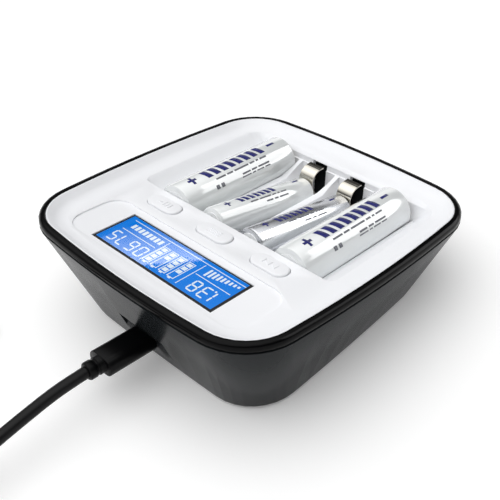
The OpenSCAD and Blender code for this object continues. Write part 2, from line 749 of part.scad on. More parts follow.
// Cells: one turned outline each
module cell(r, l, nub_r) {
    s = l - nub_l;
    edge = 0.7;
    crown = 1.3;
    rotate([-90, 0, 0]) rotate_extrude() polygon(concat(
        [[0, 0.15], [r - 2.1, 0.15], [r - 2, 0]],
        [for (i = [0:4]) [r - edge + edge * sin(22.5 * i), edge - edge * cos(22.5 * i)]],
        [for (i = [0:5]) [r - crown + crown * cos(18 * i), s - crown + crown * sin(18 * i)]],
        [[r - 1.7, s], [r - 1.7, s - 0.4], [r - 2.1, s - 0.4], [r - 2.1, s + 0.15]],
        [[nub_r + 0.1, s + 0.15], [nub_r, s + 0.3]],
        [for (i = [0:3]) [nub_r - 0.4 + 0.4 * cos(30 * i), l - 0.4 + 0.4 * sin(30 * i)]],
        [[0, l]]));
}
module aa_cell(i) {
    color("#e8eaec") on_panel() translate([bay_x[i], aa_far, -aa_z]) cell(aa_r, aa_l, aa_nub_r);
}
module aaa_cell(i) {
    color("#dfe2e4") on_panel() translate([bay_x[i], aaa_far, -aaa_z]) rotate([aaa_tilt, 0, 0])
        cell(aaa_r, aaa_l, aaa_nub_r);
}
module aa_cell_1() {
    aa_cell(0);
}
module aaa_cell_2() {
    aaa_cell(1);
}
module aaa_cell_3() {
    aaa_cell(2);
}
module aa_cell_4() {
    aa_cell(3);
}
// Screws and feet
module case_screws() {
    color("#9da0a3") for (x = [-screw_x, screw_x], y = screw_y) translate([x, y, 0]) difference() {
        union() {
            translate([0, 0, screw_seat - screw_head_h]) cylinder(d = screw_head_d, h = screw_head_h);
            translate([0, 0, screw_seat - tiny]) cylinder(d = screw_d, h = screw_tip - screw_seat);
        }
        for (a = [0, 90])
            translate([0, 0, screw_seat - screw_head_h]) rotate(a) cube([3, 0.6, 2], center = true);
    }
}
module rubber_feet() {
    foot_r = foot_d / 2;
    top = foot_h + foot_sink - tiny;
    color("#1d1d1e") for (x = [-foot_x, foot_x], y = [-foot_off, foot_off])
        translate([x, base_shift + y, 0]) rotate_extrude()
            polygon([[0, 0], [foot_r - 0.5, 0], [foot_r, 0.5], [foot_r, top], [0, top]]);
}
// Plug in the socket: metal shell, then the grip with its stub
module plug_shell() {
    size = plug_shell_size;
    color("#c8cacc") on_panel() translate(plug_tip) difference() {
        translate([-size.x / 2, -size.y, -size.z / 2]) cube([size.x, size.y - tiny, size.z]);
        translate([shell_t - size.x / 2, -size.y - 1, shell_t - size.z / 2])
            cube([size.x - 2 * shell_t, size.y - 0.5, size.z - 2 * shell_t]);
    }
}
module plug_grip() {
    color("#17181a") on_panel() translate(plug_tip) rotate([-90, 0, 0]) {
        linear_extrude(plug_l) stadium(plug_w, plug_h);
        translate([0, 0, plug_l]) rotate_extrude() polygon([
            [0, -1], [stub_d / 2, -1], [stub_d / 2, stub_l / 3], [stub_d / 2 - stub_groove, stub_l / 3],
            [stub_d / 2 - stub_groove, stub_l / 2], [stub_d / 2, stub_l / 2],
            [stub_d / 2, stub_l - stub_groove], [stub_d / 2 - stub_groove, stub_l], [0, stub_l]]);
    }
}
// Lead from the plug to its coil on the table, and the tail with the far plug
module coil_body(grow) {
    translate([coil_at.x, coil_at.y, coil_base - grow]) rotate_extrude()
        translate([coil_r - coil_half_w - grow, 0]) square([2 * (coil_half_w + grow), coil_h + 2 * grow]);
}
module lead_out() {
    color("#1b1c1e") difference() {
        tube(lead_route, lead_d);
        coil_body(tiny);
    }
}
module lead_coil() {
    color("#1b1c1e") coil_body(0);
}
module lead_tie() {
    color("#2a2b2d") translate([coil_at.x, coil_at.y, coil_base + coil_h / 2])
        rotate(90 - tie_angle / 2) rotate_extrude(angle = tie_angle) translate([coil_r, 0]) difference() {
            square([2 * (coil_half_w + slip + tie_t), coil_h + 2 * (slip + tie_t)], center = true);
            square([2 * (coil_half_w + slip), coil_h + 2 * slip], center = true);
        }
}
module lead_tail() {
    color("#1b1c1e") difference() {
        tube(tail_route, lead_d);
        coil_body(tiny);
    }
}
module far_plug_grip() {
    color("#17181a") translate([far_at.x, far_at.y - tiny, far_at.z]) rotate([90, 0, 0])
        linear_extrude(far_grip.y) stadium(far_grip.x, far_grip.z);
}
module far_plug_shell() {
    hollow = far_shell - [2 * shell_t, 0, 2 * shell_t];
    color("#c8cacc") translate(far_at - [0, far_grip.y + 2 * tiny + far_shell.y / 2, 0]) difference() {
        cube(far_shell, center = true);
        translate([0, -1, 0]) cube(hollow, center = true);
    }
}

lower_case();
rim_bezel();
top_panel();
display_window();
lcd_glass();
lcd_backlight();
display_board();
switch_bodies();
button_right();
button_middle();
button_left();
plunger_right();
plunger_middle();
plunger_left();
main_board();
board_components();
usb_socket();
positive_contact_1();
positive_contact_2();
positive_contact_3();
positive_contact_4();
negative_contact_1();
negative_contact_2();
negative_contact_3();
negative_contact_4();
contact_board();
ribbon_lead();
aa_cell_1();
aaa_cell_2();
aaa_cell_3();
aa_cell_4();
case_screws();
rubber_feet();
plug_shell();
plug_grip();
lead_out();
lead_coil();
lead_tie();
lead_tail();
far_plug_grip();
far_plug_shell();
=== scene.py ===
import json
import math

import bmesh
import bpy
from mathutils import Euler, Matrix, Quaternion, Vector


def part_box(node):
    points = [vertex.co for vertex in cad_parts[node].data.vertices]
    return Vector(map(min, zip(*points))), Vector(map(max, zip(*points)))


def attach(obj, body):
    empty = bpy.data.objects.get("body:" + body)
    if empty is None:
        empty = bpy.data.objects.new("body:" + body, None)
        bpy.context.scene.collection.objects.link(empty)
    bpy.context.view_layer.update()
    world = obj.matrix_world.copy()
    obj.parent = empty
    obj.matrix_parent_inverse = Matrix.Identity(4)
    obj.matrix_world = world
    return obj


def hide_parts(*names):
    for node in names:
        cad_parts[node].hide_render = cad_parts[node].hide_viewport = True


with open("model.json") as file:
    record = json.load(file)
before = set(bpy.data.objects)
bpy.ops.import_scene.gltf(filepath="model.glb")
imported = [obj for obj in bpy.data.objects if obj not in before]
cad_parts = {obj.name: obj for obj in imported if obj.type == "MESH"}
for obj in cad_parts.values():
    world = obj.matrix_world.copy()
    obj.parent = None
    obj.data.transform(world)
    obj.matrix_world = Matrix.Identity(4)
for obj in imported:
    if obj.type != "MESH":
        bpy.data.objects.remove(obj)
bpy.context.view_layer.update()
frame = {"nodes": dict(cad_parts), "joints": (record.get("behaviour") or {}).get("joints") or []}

bl_info = {
    "name": "Desk charger looks",
    "version": (1, 0, 0),
    "blender": (4, 5, 0),
    "location": "3D View > Sidebar > Charger",
    "description": "Gives a desk charger its finishes, cells, display and lead, and a studio around it",
    "category": "Object",
}

MM = 0.001
BODY = "charger"

# The panel's frame: its slope comes from the way that the keys move.
KEY_AXIS = Vector(next(j for j in frame["joints"] if j["name"] == "key_middle_press")["axis"])
PANEL_TILT = math.atan2(-KEY_AXIS.y, KEY_AXIS.z)
PANEL_ORIGIN = Vector((0, 0.177, 28.8)) * MM
PANEL = Matrix.Translation(PANEL_ORIGIN) @ Matrix.Rotation(PANEL_TILT, 4, "X")

# Battery bays from the user's right to the left, in millimetres across the panel.
BAY_X = (24.45, 8.15, -8.15, -24.45)

# Kinds of cell: radius, length, far end (y, z) and slope in the panel's frame, radius of the terminal.
# Their print, in millimetres from the far end: turn in radians, slanted bars, places of plus and minus,
# the plus sign's arms along and around the cell, lines of small print (place around the cell, height,
# lengths of the words) and starts of the squares.
AA = {
    "radius": 7.2, "length": 50.5, "y": -39.5, "z": -3.9, "slope": 0.0, "terminal": 2.75,
    "roll": 0.1, "bars": 8, "first_bar": 36, "bar": 2.2, "bar_step": 3.4, "bar_share": 1.0, "slant": -1.2,
    "signs": (42.7, 6.7), "arms": (3.4, 3.8), "stroke": 1.0,
    "lines": (
        (3.2, 0.6, (3.1, 1.1, 2.2, 6.4, 2.6, 4.2)),
        (5.4, 0.6, (5.2, 2.4, 3.6)),
        (6.5, 0.4, (2.4, 3.2, 1.4, 4)),
    ),
    "squares": (33, 35.2),
}
AAA = {
    "radius": 5.2, "length": 44.5, "y": -33.284, "z": -9.3, "slope": 8.3, "terminal": 1.9,
    "roll": 0.0, "bars": 7, "first_bar": 31, "bar": 1.6, "bar_step": 2.4, "bar_share": 0.65, "slant": -0.8,
    "signs": (36.95, 5.3), "arms": (2.6, 2.6), "stroke": 0.7,
    "lines": (
        (2.1, 0.5, (2.6, 0.9, 1.8, 5.2, 3.4)),
        (3.6, 0.5, (4.2, 1.8, 3)),
    ),
    "squares": (),
}
# Each cell's node, kind and slot, from bay 1 on.
CELLS = (
    ("aa_cell_1", AA, "cell_white"), ("aaa_cell_2", AAA, "cell_white"),
    ("aaa_cell_3", AAA, "cell_silver"), ("aa_cell_4", AA, "cell_white"),
)

# Outline of a cell: the can's end (in from the side, up from the end), the sleeve's shoulder and the step
# to the ring (in from the side, down from the top), and the terminal (out from its side, up from the top).
# SLEEVE_FOLD is the share of the radius by which the sleeve folds in over the end.
TERMINAL_L = 1.3
SLEEVE_FOLD = 0.29
CAN_END = ((1.9, 0.12), (1.7, 0), (0.6, 0), (0.18, 0.18), (0, 0.6))
SHOULDER = ((0, 1), (0.25, 0.5), (0.8, 0.3))
RING_STEP = (0.05, 0.25)
TERMINAL = ((0.55, 0), (0.5, -0.2), (0.1, -0.2), (0, -0.1), (0, TERMINAL_L - 0.3), (-0.3, TERMINAL_L))
# Materials of the strips between those points, and sides of the turned form.
SLEEVE, METAL, RING = range(3)
CELL_BANDS = [METAL] * 2 + [SLEEVE] * 7 + [RING] * 3 + [METAL] * 5
CELL_SIDES = 96

# Print: thickness of the ink, its clearance from the sleeve and its longest step around a cell; start of
# the small print's lines, space between words, side of a square and its place around the cell.
INK_T = 0.02
INK_LIFT = 0.01
INK_STEP = 0.5
LINES_START = 12
WORD_SPACE = 0.7
SQUARE = 1.4
SQUARE_LOW = 5.4

# Display: centre line and levels in the panel's frame, in millimetres.
DISPLAY_Y = 33.2
WINDOW = (51.2, 16.2)
WINDOW_TOP = -0.81
LCD_TOP = -2.02
# How much wider the black border is at the display's left and rear, where the panel's edge hides part of it.
MASK_EXTRA = (0.8, 0.65)

# Display's drawing in millimetres about its middle: figures, bar scales, cell gauges and thin lines.
FIGURE_ROWS = (("138", -21.6), ("0675", 9.6))
FIGURE_Y = 2.6
FIGURE_STEP = 4.1
POINT_X = -19.5
POINT_SIDE = 0.6
RISING_BARS = {"count": 9, "x": -22.4, "step": 1.35, "low": -5.9, "width": 0.75, "first": 0.9, "growth": 0.32}
EVEN_BARS = {"count": 8, "x": 9, "step": 1.75, "y": -4.4, "size": (1.2, 2.2)}
GAUGES = {
    "levels": (3, 4, 2, 4), "x": -5.4, "step": 3.6, "y": 0.3, "size": (2.5, 8.6),
    "tip_y": 5, "tip": (1.1, 0.5), "block_y": -2.8, "block_step": 2, "block": (1.7, 1.5),
}
UPRIGHT_LINES = ((-8.6, -0.4, 11.6), (7, -0.4, 11.6))
LEVEL_LINES = ((0, -6.9, 47.5), (-16.2, -1.5, 13.6), (15.7, -1.5, 15))

# Seven-segment figure: half its width and its stroke as shares of its height, gap as a share of the stroke.
FIGURE_HALF_W = 0.26
FIGURE_STROKE = 0.115
FIGURE_GAP = 0.12
# Lit bars of each figure, named a to g from the top round to the middle.
FIGURES = {
    "0": "abcdef", "1": "bc", "2": "abged", "3": "abgcd", "4": "fgbc",
    "5": "afgcd", "6": "afgedc", "7": "abc", "8": "abcdefg", "9": "abcdfg",
}

# Leaves: foot in the panel's frame, turn in degrees, width, and the edges (y, z) above the foot of two dark
# strips painted on as the shade inside two grooves.
LEAF_FOOT = (-39.2, -17.5)
LEAF_TURNS = (26.803, 0.0, 0.0, 26.803)
LEAF_W = 5.8
LEAF_GROOVE_SHADES = (((-0.6, 16.1), (-0.25, 16.1)), ((0.75, 16.025), (1.1, 15.96)))
# Turns a profile in (y, z), drawn flat and raised along Z, so that it is raised along X.
SIDEWAYS = Matrix(((0, 0, 1, 0), (1, 0, 0, 0), (0, 1, 0, 0), (0, 0, 0, 1)))

# Keys: centres across the panel, level of their faces, rounding of their edges, and their raised signs.
KEY_X = {"right": 22.5, "middle": 0.0, "left": -22.5}
KEY_Y = 15.7
KEY_TOP = 0.6
KEY_EDGE = 0.3
KEY_MARK_T = 0.2
KEY_STROKE = (0.5, 2)
KEY_DASH = (1.6, 0.5)
KEY_LINE = (5, 0.4)
KEY_ARROW = ((-0.9, -1), (0.9, 0), (-0.9, 1))

# Lead: the solids' route in millimetres, then the coil's centre, rows, layers and step in degrees.
LEAD_D = 3.7
LEAD_START = (0, 67.326, 13.771)
LEAD_ROUTE = (
    (0, 71, 14), (0, 75, 14.2), (0, 80, 14.1), (0, 85, 13.7), (0, 90, 13.2), (0, 95, 12.6), (0, 100, 11.9),
    (0, 105, 11.1), (0, 110, 10.2), (0, 115, 9.3), (0, 120, 8.4), (0, 125, 7.5),
)
COIL_CENTRE = (24.05, 130)
COIL_ROWS = (16.65, 20.35, 24.05)
COIL_LAYERS = (6.35, 2.65)
COIL_STEP = 10
TAIL_ROUTE = (
    (48.3, 127, 2.8), (48.8, 124, 3), (49.8, 121, 3.3), (51, 118, 3.7), (52.2, 115, 4), (53, 112, 4.1),
    (53.3, 110, 4.1), (53.3, 109, 4.1),
)

# Rounding of the plugs' grips.
GRIP_EDGE = 0.4
# Side of the square windows in the far plug's shell, painted on as dark squares of shade, which lie as far to
# each side of its middle.
PLUG_WINDOW = 2.3

# Finishes: size in millimetres of the patches in which the gloss wanders, the range that the noise mostly
# keeps to, and the smoothest surface.
PATCH = 9
NOISE_RANGE = (0.3, 0.7)
SMOOTHEST = 0.02

# Meshes: gap in millimetres that a weld closes, then angles in degrees up to which faces count as flat, as
# one smooth face, or as too blunt an edge to round.
WELD_GAP = 0.002
FLAT_ANGLE = 0.5
CRISP_ANGLE = 30
LATHE_ANGLE = 40
BEVEL_ANGLE = 35

# Floor: side and thickness in millimetres.
FLOOR_SIDE = 4000
FLOOR_T = 2

# Card that the display's window mirrors: corners and level in the panel's frame, in millimetres.
# Its light falls off from the first edge along CARD_WAY.
CARD = ((356.8, -193.4), (295.5, -278.1), (405.5, -271.2), (406.8, -210.4))
CARD_Z = 299.2
CARD_WAY = (0.81, -0.587, 0)
CARD_NEAR = 402.6
CARD_FAR = 472

# Lamps: size and place in metres, roll about the beam in degrees, and whether matt surfaces get its light.
# The gloss lamp is rolled so that its mirror image runs straight along the cells.
GLOSS_LAMP = {"size": (0.75, 1.0), "place": (-0.46, -0.75, 0.55), "roll": 40, "even": False}
FILL_LAMP = {"size": (0.6, 0.6), "place": (0.1, 0.9, 0.6), "roll": 0, "even": True}
# Pieces that a flag shades from the gloss lamp.
FLAG = "gloss_flag"

# Room: way to its brightest part, cosines between which it brightens, and heights between which the
# backdrop ends.
ROOM_WAY = (0.15, 0.15, 0.977)
ROOM_SPREAD = (0.45, 0.95)
BACKDROP_TOP = (0.15, 0.25)

# Camera: width of the sensor in millimetres, and nearest distance that it sees in metres.
SENSOR_W = 36
NEAREST = 0.01


def linear(code):
    """Turns an sRGB hex code into the linear colour that shaders use."""
    parts = [int(code[i:i + 2], 16) / 255 for i in (1, 3, 5)]
    return [c / 12.92 if c <= 0.04045 else ((c + 0.055) / 1.055) ** 2.4 for c in parts]


def colour_property(label, note, code):
    """Describes one colour that a user can change."""
    return bpy.props.FloatVectorProperty(
        name=label, description=note, subtype="COLOR", size=3, min=0, max=1, default=linear(code))


def length_property(label, note, millimetres):
    """Describes one length that a user can change."""
    return bpy.props.FloatProperty(
        name=label, description=note, unit="LENGTH", subtype="DISTANCE", precision=5,
        default=millimetres * MM)


def level_property(label, note, level, unit="NONE"):
    """Describes one level of light that a user can change."""
    return bpy.props.FloatProperty(name=label, description=note, unit=unit, min=0, default=level)


class ChargerColours(bpy.types.PropertyGroup):
    """Colours of the charger's plastics, display, cells and metal."""
    case: colour_property("Case", "Moulded tray", "#222527")
    rim: colour_property("Rim", "Frame around the panel", "#060607")
    panel: colour_property("Panel", "Top panel and battery well", "#f3f4f7")
    keys: colour_property("Keys", "Three keys below the display", "#f3f4f7")
    display: colour_property("Display", "Backlit field of the display", "#0a80ea")
    segments: colour_property("Segments", "Lit bars and figures", "#e9f5ff")
    sleeve: colour_property("Sleeve", "Shrink sleeve of the white cells", "#ebeeee")
    foil: colour_property("Foil", "Metallised sleeve of the grey cell", "#d3d5d9")
    ink: colour_property("Ink", "Main print on the cells", "#0e146a")
    fine_ink: colour_property("Fine ink", "Small print on the cells", "#6a6c73")
    nickel: colour_property("Nickel", "Contacts and terminals", "#cbc7bd")
    lead: colour_property("Lead", "Lead and plugs", "#070708")


class ChargerSizes(bpy.types.PropertyGroup):
    """Sizes of the soft edges, the print and the display's lines."""
    edge: length_property("Edge", "Rounding of the rim's and the panel's edges", 0.25)
    mark_height: length_property("Mark height", "Height of the bars printed on an AA cell", 4.0)
    figure_height: length_property("Figure height", "Height of the display's figures", 4.6)
    line: length_property("Line", "Width of the display's thin lines", 0.26)
    mask: length_property("Mask", "Width of the black border around the display", 0.4)


class ChargerStage(bpy.types.PropertyGroup):
    """Camera and light levels of the studio."""
    lens: bpy.props.FloatProperty(
        name="Lens", description="Focal length on a 36 mm sensor", subtype="DISTANCE_CAMERA", default=58.106)
    place: bpy.props.FloatVectorProperty(
        name="Camera place", description="Where the camera stands", subtype="TRANSLATION", unit="LENGTH",
        default=(-0.146137, 0.133825, 0.177261))
    turn: bpy.props.FloatVectorProperty(
        name="Camera turn", description="How the camera is turned", subtype="EULER", unit="ROTATION",
        default=(0.880862, 0.075108, -2.365101))
    room: level_property("Ceiling light", "Level of the room overhead", 2.0)
    wall: level_property("Wall light", "Level of the room at eye height", 0.06)
    paper: level_property("Paper white", "What the floor adds for the camera to look white", 0.15)
    glare: level_property("Glare", "Level of the card that the display's window mirrors", 2.8)
    gloss: level_property("Gloss light", "Power of the lamp that cells and contacts mirror", 8.0, "POWER")
    fill: level_property("Fill light", "Power of the lamp at the rear", 0.3, "POWER")


def add_node(tree, kind, inputs=None, **settings):
    """Adds a shader node with its settings, and sets or links its inputs."""
    made = tree.nodes.new(kind)
    for setting, value in settings.items():
        setattr(made, setting, value)
    for socket, value in (inputs or {}).items():
        if isinstance(value, bpy.types.NodeSocket):
            tree.links.new(value, made.inputs[socket])
        else:
            made.inputs[socket].default_value = value
    return made


def rgba(colour):
    """Adds full cover to a colour."""
    return (*colour, 1.0)


def new_tree(name):
    """Makes an empty material and returns it with its node tree."""
    material = bpy.data.materials.new(name)
    material.use_nodes = True
    material.node_tree.nodes.clear()
    return material, material.node_tree


def seen_rays(tree):
    """Socket that is 1 for rays from the camera, from a mirror or through a clear piece."""
    path = add_node(tree, "ShaderNodeLightPath").outputs
    direct = add_node(tree, "ShaderNodeMath", {0: path["Is Camera Ray"], 1: path["Is Glossy Ray"]},
                      operation="MAXIMUM")
    return add_node(tree, "ShaderNodeMath", {0: direct.outputs[0], 1: path["Is Transmission Ray"]},
                    operation="MAXIMUM").outputs[0]


def solid_finish(name, colour, roughness, grain=0.5, depth=0.0, spread=0.05, **sockets):
    """Makes a finish whose gloss wanders a little, with a fine grain (sizes in millimetres)."""
    material, tree = new_tree(name)
    place = add_node(tree, "ShaderNodeTexCoord").outputs["Object"]
    patches = add_node(tree, "ShaderNodeTexNoise", {"Vector": place, "Scale": 1 / (PATCH * MM), "Detail": 3})
    gloss = add_node(tree, "ShaderNodeMapRange", {
        "Value": patches.outputs["Fac"], "From Min": NOISE_RANGE[0], "From Max": NOISE_RANGE[1],
        "To Min": max(roughness - spread, SMOOTHEST), "To Max": roughness + spread})
    pores = add_node(tree, "ShaderNodeTexNoise", {"Vector": place, "Scale": 1 / (grain * MM), "Detail": 2})
    bump = add_node(tree, "ShaderNodeBump", {"Height": pores.outputs["Fac"], "Distance": depth * MM})
    shader = add_node(tree, "ShaderNodeBsdfPrincipled", {
        "Base Color": rgba(colour), "Roughness": gloss.outputs["Result"], "Normal": bump.outputs["Normal"]})
    for socket, value in sockets.items():
        shader.inputs[socket.replace("_", " ")].default_value = value
    add_node(tree, "ShaderNodeOutputMaterial", {"Surface": shader.outputs["BSDF"]})
    return material


def glowing_finish(name, colour):
    """Makes a finish that gives its own light, as a backlit film does."""
    material, tree = new_tree(name)
    glow = add_node(tree, "ShaderNodeEmission", {"Color": rgba(colour), "Strength": 1.0})
    add_node(tree, "ShaderNodeOutputMaterial", {"Surface": glow.outputs["Emission"]})
    return material


def card_finish(strength):
    """Makes a glowing card that fades from one edge to the other."""
    material, tree = new_tree("card_lit_fading")
    along = add_node(tree, "ShaderNodeVectorMath", {
        0: add_node(tree, "ShaderNodeTexCoord").outputs["Object"], 1: CARD_WAY}, operation="DOT_PRODUCT")
    level = add_node(tree, "ShaderNodeMapRange", {
        "Value": along.outputs["Value"], "From Min": CARD_NEAR * MM, "From Max": CARD_FAR * MM,
        "To Min": strength, "To Max": 0.0})
    glow = add_node(tree, "ShaderNodeEmission", {"Color": (1, 1, 1, 1), "Strength": level.outputs["Result"]})
    add_node(tree, "ShaderNodeOutputMaterial", {"Surface": glow.outputs["Emission"]})
    return material


def dress(node, material):
    """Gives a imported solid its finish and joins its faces."""
    piece = frame["nodes"][node]
    piece.data.materials.clear()
    piece.data.materials.append(material)
    for face in piece.data.polygons:
        face.use_smooth = True
    weld = piece.modifiers.new("Weld", "WELD")
    weld.merge_threshold = WELD_GAP * MM
    return piece


def crisp(piece):
    """Keeps the sharp edges of a solid sharp."""
    split = piece.modifiers.new("Edges", "EDGE_SPLIT")
    split.split_angle = math.radians(CRISP_ANGLE)
    return piece


def soften(piece, width):
    """Rounds the sharp edges of a solid, as a mould or a press leaves them."""
    flat = piece.modifiers.new("Flats", "DECIMATE")
    flat.decimate_type = "DISSOLVE"
    flat.angle_limit = math.radians(FLAT_ANGLE)
    bevel = piece.modifiers.new("Edges", "BEVEL")
    bevel.width = width
    bevel.segments = 2
    bevel.limit_method = "ANGLE"
    bevel.angle_limit = math.radians(BEVEL_ANGLE)
    bevel.use_clamp_overlap = True
    bevel.harden_normals = True
    return piece


def add_piece(name, mesh, materials, matrix, body=BODY):
    """Adds a mesh as a piece that rides on a body."""
    for material in materials:
        mesh.materials.append(material)
    piece = bpy.data.objects.new(name, mesh)
    bpy.context.collection.objects.link(piece)
    piece.matrix_world = matrix
    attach(piece, body)
    return piece


def shade(piece):
    """Puts a piece behind the flag, which keeps the gloss lamp from washing it out."""
    flag = bpy.data.collections[FLAG]
    flag.objects.link(piece)
    for entry in flag.collection_objects:
        entry.light_linking.link_state = "EXCLUDE"
    return piece


def lathe(name, profile, bands, sides):
    """Turns a profile of (radius, height) in millimetres about Z; bands gives each strip its material."""
    form = bmesh.new()
    rings = []
    for radius, height in profile:
        if radius == 0:
            rings.append([form.verts.new((0, 0, height * MM))])
            continue
        angles = (2 * math.pi * i / sides for i in range(sides))
        rings.append([form.verts.new((radius * MM * math.cos(a), radius * MM * math.sin(a), height * MM))
                      for a in angles])
    for low, high, band in zip(rings, rings[1:], bands):
        for i in range(sides):
            j = (i + 1) % sides
            corners = [low[i % len(low)], low[j % len(low)], high[j % len(high)], high[i % len(high)]]
            face = form.faces.new(list(dict.fromkeys(corners)))
            face.material_index = band
            face.smooth = True
    bmesh.ops.recalc_face_normals(form, faces=form.faces)
    mesh = bpy.data.meshes.new(name)
    form.to_mesh(mesh)
    form.free()
    mesh.set_sharp_from_angle(angle=math.radians(LATHE_ANGLE))
    return mesh


def prisms(name, outlines, low, high):
    """Raises flat outlines (millimetres) into thin solids between two levels."""
    form = bmesh.new()
    for outline in outlines:
        floor = [form.verts.new((x * MM, y * MM, low * MM)) for x, y in outline]
        roof = [form.verts.new((x * MM, y * MM, high * MM)) for x, y in outline]
        form.faces.new(floor)
        form.faces.new(roof)
        for i in range(len(outline)):
            j = (i + 1) % len(outline)
            form.faces.new((floor[i], floor[j], roof[j], roof[i]))
    bmesh.ops.recalc_face_normals(form, faces=form.faces)
    mesh = bpy.data.meshes.new(name)
    form.to_mesh(mesh)
    form.free()
    return mesh


def box(x, y, width, height):
    """Outline of a rectangle about its centre."""
    return [(x - width / 2, y - height / 2), (x + width / 2, y - height / 2),
            (x + width / 2, y + height / 2), (x - width / 2, y + height / 2)]


def bar(start, end, width):
    """Outline of a bar with pointed ends, as in a seven-segment figure."""
    a = Vector(start)
    b = Vector(end)
    along = (b - a).normalized() * width / 2
    side = Vector((-along.y, along.x))
    return [tuple(p) for p in (a, a + along - side, b - along - side, b, b - along + side, a + along + side)]


def figure(sign, x, y, height):
    """Outlines of one seven-segment figure about its centre."""
    half_w = height * FIGURE_HALF_W
    half_h = height / 2
    stroke = height * FIGURE_STROKE
    space = stroke * FIGURE_GAP
    corners = {
        "a": ((-half_w, half_h), (half_w, half_h)), "b": ((half_w, half_h), (half_w, 0)),
        "c": ((half_w, 0), (half_w, -half_h)), "d": ((-half_w, -half_h), (half_w, -half_h)),
        "e": ((-half_w, 0), (-half_w, -half_h)), "f": ((-half_w, half_h), (-half_w, 0)),
        "g": ((-half_w, 0), (half_w, 0)),
    }
    outlines = []
    for name in FIGURES[sign]:
        start, end = (Vector(p) + Vector((x, y)) for p in corners[name])
        step = (end - start).normalized() * space
        outlines.append(bar(start + step, end - step, stroke))
    return outlines


def frame_lines(x, y, width, height, line):
    """Outlines of the four sides of a thin frame."""
    return [
        box(x, y + height / 2, width + line, line), box(x, y - height / 2, width + line, line),
        box(x - width / 2, y, line, height - line), box(x + width / 2, y, line, height - line),
    ]


def display_outlines(figure_h, line):
    """Outlines of the display: four cell gauges between two rows of figures with bar scales."""
    outlines = []
    for signs, x in FIGURE_ROWS:
        for i, sign in enumerate(signs):
            outlines += figure(sign, x + FIGURE_STEP * i, FIGURE_Y, figure_h)
    outlines.append(box(POINT_X, FIGURE_Y - figure_h / 2, POINT_SIDE, POINT_SIDE))
    rising = RISING_BARS
    for i in range(rising["count"]):
        rise = rising["first"] + rising["growth"] * i
        x = rising["x"] + rising["step"] * i
        outlines.append(box(x, rising["low"] + rise / 2, rising["width"], rise))
    even = EVEN_BARS
    for i in range(even["count"]):
        outlines.append(box(even["x"] + even["step"] * i, even["y"], *even["size"]))
    gauge = GAUGES
    for i, level in enumerate(gauge["levels"]):
        x = gauge["x"] + gauge["step"] * i
        outlines += frame_lines(x, gauge["y"], *gauge["size"], line)
        outlines.append(box(x, gauge["tip_y"], *gauge["tip"]))
        heights = (gauge["block_y"] + gauge["block_step"] * k for k in range(level))
        outlines += [box(x, y, *gauge["block"]) for y in heights]
    outlines += [box(x, y, line, length) for x, y, length in UPRIGHT_LINES]
    outlines += [box(x, y, length, line) for x, y, length in LEVEL_LINES]
    return outlines


def key_outlines():
    """Outlines of the keys' signs: strokes with a dash, three lines, and two arrows with a stroke."""
    return {
        "right": [box(x, 0, *KEY_STROKE) for x in (-2.4, -1.2, 0)] + [box(2, 0, *KEY_DASH)],
        "middle": [box(0, y, *KEY_LINE) for y in (-0.9, 0, 0.9)],
        "left": [[(at + x, y) for x, y in KEY_ARROW] for at in (-1.7, 0.7)] + [box(2.4, 0, *KEY_STROKE)],
    }


def cell_matrix(bay, kind):
    """Places a cell's far end in its bay with the axis towards the display."""
    far = Matrix.Translation(Vector((BAY_X[bay - 1], kind["y"], kind["z"])) * MM)
    return PANEL @ far @ Matrix.Rotation(math.radians(kind["slope"] - 90), 4, "X")


def cell_mesh(name, kind):
    """Mesh of one cell: can end, sleeve rolled over both ends, insulating ring and terminal."""
    r = kind["radius"]
    end = kind["length"] - TERMINAL_L
    t = kind["terminal"]
    fold = r * SLEEVE_FOLD
    profile = [
        (0, CAN_END[0][1]), *((r - inward, up) for inward, up in CAN_END),
        *((r - inward, end - down) for inward, down in SHOULDER),
        (r - fold, end - RING_STEP[1]), (r - fold - RING_STEP[0], end),
        *((t + out, end + up) for out, up in TERMINAL), (0, end + TERMINAL_L),
    ]
    return lathe(name, profile, CELL_BANDS, CELL_SIDES)


def bold_marks(kind, height):
    """Marks of a cell's main print: a row of slanted bars, then the plus and minus signs."""
    half_h = height * kind["bar_share"] / 2
    starts = [kind["first_bar"] - kind["bar_step"] * i for i in range(kind["bars"])]
    marks = [(start, start + kind["bar"], -half_h, half_h, kind["slant"]) for start in starts]
    along, around = kind["arms"]
    half = kind["stroke"] / 2
    plus, minus = kind["signs"]
    marks.append((plus - half, plus + half, -around / 2, around / 2, 0))
    marks += [(at - along / 2, at + along / 2, -half, half, 0) for at in (plus, minus)]
    return marks


def fine_marks(kind):
    """Marks of a cell's small print: lines of word-long dashes, then the squares."""
    marks = []
    for low, height, words in kind["lines"]:
        start = LINES_START
        for word in words:
            marks.append((start, start + word, low, low + height, 0))
            start += word + WORD_SPACE
    marks += [(at, at + SQUARE, SQUARE_LOW, SQUARE_LOW + SQUARE, 0) for at in kind["squares"]]
    return marks


def wrapped_marks(name, marks, radius, roll):
    """Lays four-sided marks (start, end, low, high, slant in millimetres) around a cell."""
    form = bmesh.new()
    reach = (radius + INK_LIFT) * MM
    for start, end, low, high, slant in marks:
        rows = max(2, math.ceil(abs(high - low) / INK_STEP) + 1)
        lines = []
        for i in range(rows):
            arc = low + (high - low) * i / (rows - 1)
            turn = roll + arc / radius
            lean = slant * (i / (rows - 1))
            around = (-reach * math.sin(turn), -reach * math.cos(turn))
            lines.append([form.verts.new((*around, (s + lean) * MM)) for s in (start, end)])
        for one, two in zip(lines, lines[1:]):
            face = form.faces.new((one[0], one[1], two[1], two[0]))
            face.smooth = True
            face.normal_update()
            middle = face.calc_center_median()
            if face.normal.dot(Vector((middle.x, middle.y, 0))) < 0:
                face.normal_flip()
    mesh = bpy.data.meshes.new(name)
    form.to_mesh(mesh)
    form.free()
    return mesh


